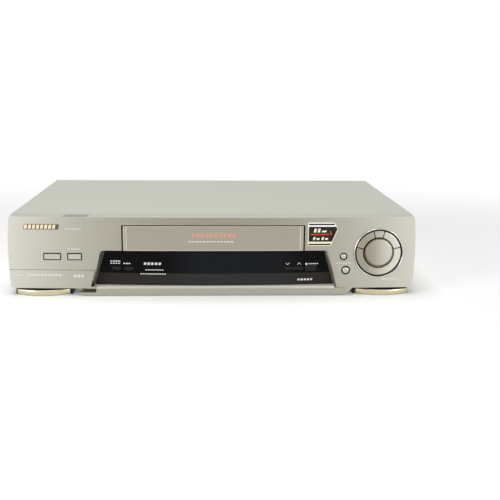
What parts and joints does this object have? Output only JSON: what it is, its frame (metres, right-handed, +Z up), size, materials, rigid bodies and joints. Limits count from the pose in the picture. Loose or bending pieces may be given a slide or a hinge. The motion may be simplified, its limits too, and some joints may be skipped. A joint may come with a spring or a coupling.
{
  "type": "video cassette recorder",
  "caption": "Front-loading video cassette recorder with a champagne bowed front, smoked display window, cassette door, transport ring and full tape mechanism inside.",
  "frame": {"origin": "on the plane under the feet, below the middle of the bounding box", "axes": "+X to the right seen from the front, along the width; +Y from the front to the rear sockets; +Z up"},
  "size_m": [0.43, 0.286, 0.086],
  "materials": {
    "champagne_plastic": "champagne metallic paint on moulded plastic",
    "cap_plastic": "light champagne metallic paint on moulded plastic",
    "cover_paint": "fine textured grey-beige paint on steel",
    "zinc_steel": "zinc plated sheet",
    "smoked_window": "polished smoked acrylic",
    "gold_trim": "pale gold metallised plastic",
    "black_plastic": "moulded, slightly rough",
    "polished_ring": "bright plating",
    "green_board": "glass fibre board with solder mask",
    "tan_board": "paper board",
    "copper_winding": "varnished winding on a ferrite core",
    "display_glass": "grey glass",
    "turned_aluminium": "fine turned",
    "white_plastic": "acetal",
    "grey_plastic": "moulded",
    "rubber": "ground",
    "yellow_plastic": "moulded"
  },
  "bodies": {
    "root": {"front_panel": "champagne_plastic", "display_window": "smoked_window", "transport_bezel": "polished_ring", "top_cover": "cover_paint", "chassis": "zinc_steel", "rear_panel": "zinc_steel", "front_foot_left": "black_plastic", "front_foot_right": "black_plastic", "foot_trim_left": "gold_trim", "foot_trim_right": "gold_trim", "rear_foot_left": "black_plastic", "rear_foot_right": "black_plastic", "rf_unit": "zinc_steel", "av1_socket": "black_plastic", "av2_socket": "black_plastic", "audio_out_jacks": "black_plastic", "front_av_jacks": "yellow_plastic", "ac_inlet": "black_plastic", "main_board": "green_board", "power_board": "tan_board", "power_transformer": "copper_winding", "operation_board": "tan_board", "display_tube": "display_glass", "mech_deck": "zinc_steel", "lower_drum": "turned_aluminium", "erase_head": "zinc_steel", "audio_head": "zinc_steel", "loading_motor": "zinc_steel", "carriage_left_bracket": "zinc_steel", "carriage_right_bracket": "zinc_steel"},
    "power_button": {"power_button": "cap_plastic"},
    "eject_button": {"eject_button": "cap_plastic"},
    "upper_round_button": {"upper_round_button": "cap_plastic"},
    "lower_round_button": {"lower_round_button": "cap_plastic"},
    "direct_record_button": {"direct_record_button": "smoked_window"},
    "audio_dub_button": {"audio_dub_button": "smoked_window"},
    "record_button": {"record_button": "smoked_window"},
    "rewind_key": {"rewind_key": "cap_plastic"},
    "pause_key": {"pause_key": "cap_plastic"},
    "fast_forward_key": {"fast_forward_key": "cap_plastic"},
    "play_key": {"play_key": "cap_plastic"},
    "stop_key": {"stop_key": "cap_plastic"},
    "channel_rocker": {"channel_rocker": "smoked_window"},
    "cassette_door": {"cassette_door": "champagne_plastic"},
    "av_flap": {"av_flap": "champagne_plastic"},
    "carriage_slider": {"carriage_slider": "zinc_steel"},
    "cassette_holder": {"cassette_holder": "zinc_steel"},
    "upper_drum": {"upper_drum": "turned_aluminium"},
    "capstan_flywheel": {"capstan_flywheel": "zinc_steel"},
    "pinch_arm": {"pinch_arm": "zinc_steel"},
    "pinch_roller": {"pinch_roller": "rubber"},
    "supply_reel": {"supply_reel": "white_plastic"},
    "takeup_reel": {"takeup_reel": "white_plastic"},
    "idler_arm": {"idler_arm": "grey_plastic"},
    "idler_gear": {"idler_gear": "white_plastic"},
    "supply_guide": {"supply_guide": "turned_aluminium"},
    "takeup_guide": {"takeup_guide": "turned_aluminium"},
    "tension_arm": {"tension_arm": "zinc_steel"},
    "cam_gear": {"cam_gear": "white_plastic"},
    "worm": {"worm": "white_plastic"}
  },
  "joints": [
    {"name": "power_button_press", "type": "slide", "parent": "root", "child": "power_button", "axis": [0, 1, 0], "range_m": [0, 0.0006], "stiffness_N_per_m": 60, "springref_m": -0.004},
    {"name": "eject_button_press", "type": "slide", "parent": "root", "child": "eject_button", "axis": [0, 1, 0], "range_m": [0, 0.0006], "stiffness_N_per_m": 60, "springref_m": -0.004},
    {"name": "upper_round_button_press", "type": "slide", "parent": "root", "child": "upper_round_button", "axis": [0, 1, 0], "range_m": [0, 0.0006], "stiffness_N_per_m": 60, "springref_m": -0.004},
    {"name": "lower_round_button_press", "type": "slide", "parent": "root", "child": "lower_round_button", "axis": [0, 1, 0], "range_m": [0, 0.0006], "stiffness_N_per_m": 60, "springref_m": -0.004},
    {"name": "direct_record_button_press", "type": "slide", "parent": "root", "child": "direct_record_button", "axis": [0, 1, 0], "range_m": [0, 0.0006], "stiffness_N_per_m": 60, "springref_m": -0.004},
    {"name": "audio_dub_button_press", "type": "slide", "parent": "root", "child": "audio_dub_button", "axis": [0, 1, 0], "range_m": [0, 0.0006], "stiffness_N_per_m": 60, "springref_m": -0.004},
    {"name": "record_button_press", "type": "slide", "parent": "root", "child": "record_button", "axis": [0, 1, 0], "range_m": [0, 0.0006], "stiffness_N_per_m": 60, "springref_m": -0.004},
    {"name": "rewind_key_press", "type": "slide", "parent": "root", "child": "rewind_key", "axis": [-0.0379, 0.9993, 0], "range_m": [0, 0.0006], "stiffness_N_per_m": 60, "springref_m": -0.004},
    {"name": "pause_key_press", "type": "slide", "parent": "root", "child": "pause_key", "axis": [-0.0379, 0.9993, 0], "range_m": [0, 0.0006], "stiffness_N_per_m": 60, "springref_m": -0.004},
    {"name": "fast_forward_key_press", "type": "slide", "parent": "root", "child": "fast_forward_key", "axis": [-0.0379, 0.9993, 0], "range_m": [0, 0.0006], "stiffness_N_per_m": 60, "springref_m": -0.004},
    {"name": "play_key_press", "type": "slide", "parent": "root", "child": "play_key", "axis": [-0.0379, 0.9993, 0], "range_m": [0, 0.0006], "stiffness_N_per_m": 60, "springref_m": -0.004},
    {"name": "stop_key_press", "type": "slide", "parent": "root", "child": "stop_key", "axis": [-0.0379, 0.9993, 0], "range_m": [0, 0.0006], "stiffness_N_per_m": 60, "springref_m": -0.004},
    {"name": "channel_rock", "type": "hinge", "parent": "root", "child": "channel_rocker", "pos_m": [0.0856, -0.12896, 0.0278], "axis": [0, 0, 1], "range_deg": [-4, 4], "stiffness_Nm_per_rad": 0.003},
    {"name": "door_swing", "type": "hinge", "parent": "root", "child": "cassette_door", "pos_m": [0, -0.1377, 0.0792], "axis": [1, 0, 0], "range_deg": [0, 90], "stiffness_Nm_per_rad": 0.006, "springref_deg": -20.05},
    {"name": "flap_swing", "type": "hinge", "parent": "root", "child": "av_flap", "pos_m": [-0.1694, -0.1366, 0.011], "axis": [0.9993, -0.0366, 0], "range_deg": [0, 85]},
    {"name": "carriage_in", "type": "slide", "parent": "root", "child": "carriage_slider", "axis": [0, 1, 0], "range_m": [0, 0.076]},
    {"name": "carriage_down", "type": "slide", "parent": "carriage_slider", "child": "cassette_holder", "axis": [0, 0, -1], "range_m": [0, 0.0195]},
    {"name": "drum_spin", "type": "hinge", "parent": "root", "child": "upper_drum", "pos_m": [0, 0.057, 0.0219], "axis": [-0.1045, 0, 0.9945], "continuous": true},
    {"name": "capstan_spin", "type": "hinge", "parent": "root", "child": "capstan_flywheel", "pos_m": [0.052, 0.024, 0.0219], "axis": [0, 0, 1], "continuous": true},
    {"name": "pinch_swing", "type": "hinge", "parent": "root", "child": "pinch_arm", "pos_m": [0.07, 0.049, 0.0219], "axis": [0, 0, 1], "range_deg": [-36.5, 0]},
    {"name": "pinch_roller_spin", "type": "hinge", "parent": "pinch_arm", "child": "pinch_roller", "pos_m": [0.07802, 0.02103, 0.04], "axis": [0, 0, 1], "continuous": true},
    {"name": "supply_reel_spin", "type": "hinge", "parent": "root", "child": "supply_reel", "pos_m": [-0.046, -0.041, 0.0219], "axis": [0, 0, 1], "continuous": true},
    {"name": "takeup_reel_spin", "type": "hinge", "parent": "root", "child": "takeup_reel", "pos_m": [0.046, -0.041, 0.0219], "axis": [0, 0, 1], "continuous": true},
    {"name": "idler_swing", "type": "hinge", "parent": "root", "child": "idler_arm", "pos_m": [0, -0.011, 0.0219], "axis": [0, 0, 1], "range_deg": [-24, 24]},
    {"name": "idler_gear_spin", "type": "hinge", "parent": "idler_arm", "child": "idler_gear", "pos_m": [0, -0.041, 0.025], "axis": [0, 0, 1], "continuous": true},
    {"name": "supply_guide_run", "type": "slide", "parent": "root", "child": "supply_guide", "axis": [-0.0624, 0.9981, 0], "range_m": [0, 0.04809]},
    {"name": "takeup_guide_run", "type": "slide", "parent": "root", "child": "takeup_guide", "axis": [0.0624, 0.9981, 0], "range_m": [0, 0.04809]},
    {"name": "tension_swing", "type": "hinge", "parent": "root", "child": "tension_arm", "pos_m": [-0.07, 0.01, 0.0219], "axis": [0, 0, 1], "range_deg": [0, 15]},
    {"name": "cam_turn", "type": "hinge", "parent": "root", "child": "cam_gear", "pos_m": [-0.078, 0.064, 0.0219], "axis": [0, 0, 1], "range_deg": [0, 150]},
    {"name": "worm_spin", "type": "hinge", "parent": "root", "child": "worm", "pos_m": [-0.078, 0.083, 0.0299], "axis": [1, 0, 0], "range_deg": [0, 3600]}
  ],
  "couplings": [
    {"joint": "worm_spin", "follows": "cam_turn", "ratio": 24},
    {"joint": "supply_guide_run", "follows": "cam_turn", "m_per_rad": 0.01837},
    {"joint": "takeup_guide_run", "follows": "cam_turn", "m_per_rad": 0.01837},
    {"joint": "pinch_swing", "follows": "cam_turn", "ratio": -0.24333},
    {"joint": "tension_swing", "follows": "cam_turn", "ratio": 0.1}
  ]
}
